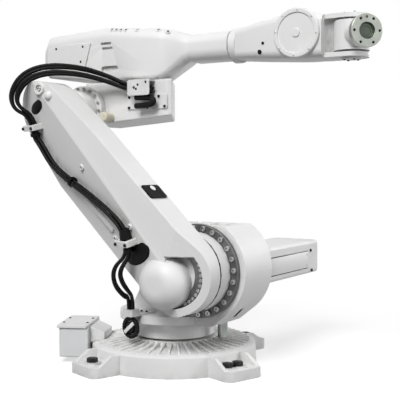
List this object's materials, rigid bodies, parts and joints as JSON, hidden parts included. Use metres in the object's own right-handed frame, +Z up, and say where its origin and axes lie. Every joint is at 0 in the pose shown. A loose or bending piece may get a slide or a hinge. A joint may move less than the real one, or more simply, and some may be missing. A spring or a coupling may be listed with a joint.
{
  "type": "industrial robot arm",
  "caption": "Floor-standing articulated robot arm with a cast base, turning shoulder, leaning lower arm, level upper arm, forked wrist and a bolted tool flange.",
  "frame": {"origin": "on the floor, on the axis that the shoulder turns about, at the underside of the base", "axes": "+Z up, +X the way the arm points at rest, +Y to its left"},
  "size_m": [1.2857, 0.9158, 1.179],
  "materials": {
    "white_paint": "satin",
    "box_grey": "satin",
    "flange_metal": "machined",
    "dark_metal": "machined",
    "bare_steel": "zinc plated",
    "clamp_plastic": "matte",
    "black_rubber": "matte",
    "black_plastic": "satin",
    "cream_rubber": "matte"
  },
  "bodies": {
    "base": {"base_casting": "white_paint", "connector_box": "box_grey", "connector_lid": "white_paint", "cable_duct": "white_paint"},
    "turret": {"turret_drum": "white_paint", "shoulder_frame": "white_paint", "gearbox_ring": "dark_metal", "gearbox_body": "white_paint", "axis2_motor_cover": "white_paint", "axis1_motor_cover": "white_paint", "stop_post": "bare_steel", "cable_anchor": "bare_steel", "conduit_loop": "black_rubber", "shoulder_cables": "black_rubber"},
    "lower_arm": {"lower_arm_casting": "white_paint", "hub_ring": "dark_metal", "lower_cap": "black_plastic", "upper_cap": "black_plastic", "side_plate": "black_plastic", "lower_clamp": "clamp_plastic", "upper_clamp": "clamp_plastic", "arm_cables": "black_rubber", "elbow_cables": "black_rubber"},
    "upper_arm": {"upper_arm_casting": "white_paint", "rear_cover": "white_paint", "axis3_housing": "white_paint", "axis3_gearbox": "white_paint", "axis3_motor_cover": "white_paint", "cable_bracket": "bare_steel", "backing_plate": "white_paint", "connector_hose": "black_rubber", "stop_damper": "cream_rubber"},
    "wrist": {"wrist_collar": "white_paint", "wrist_casting": "white_paint", "near_wrist_cover": "white_paint", "far_wrist_cover": "white_paint", "fork_cap_top": "white_paint", "fork_cap_bottom": "white_paint"},
    "tilt": {"tilt_housing": "white_paint"},
    "flange": {"tool_flange": "flange_metal"}
  },
  "joints": [
    {"name": "axis_1", "type": "hinge", "parent": "base", "child": "turret", "pos_m": [0, 0, 0.1], "axis": [0, 0, 1], "range_deg": [-160, 200]},
    {"name": "axis_2", "type": "hinge", "parent": "turret", "child": "lower_arm", "pos_m": [0.175, 0, 0.34], "axis": [0, 1, 0], "range_deg": [-42, 143], "deforming": ["shoulder_cables"]},
    {"name": "axis_3", "type": "hinge", "parent": "lower_arm", "child": "upper_arm", "pos_m": [-0.31, 0, 0.882], "axis": [0, -1, 0], "range_deg": [-28, 223], "deforming": ["elbow_cables"]},
    {"name": "axis_4", "type": "hinge", "parent": "upper_arm", "child": "wrist", "pos_m": [0.25, 0, 1.088], "axis": [1, 0, 0], "range_deg": [-200, 200]},
    {"name": "axis_5", "type": "hinge", "parent": "wrist", "child": "tilt", "pos_m": [0.661, 0, 1.088], "axis": [0, 0, 1], "range_deg": [-54, 146]},
    {"name": "axis_6", "type": "hinge", "parent": "tilt", "child": "flange", "pos_m": [0.74575, -0.08776, 1.088], "axis": [0.6947, -0.7193, 0], "range_deg": [-360, 360]}
  ]
}
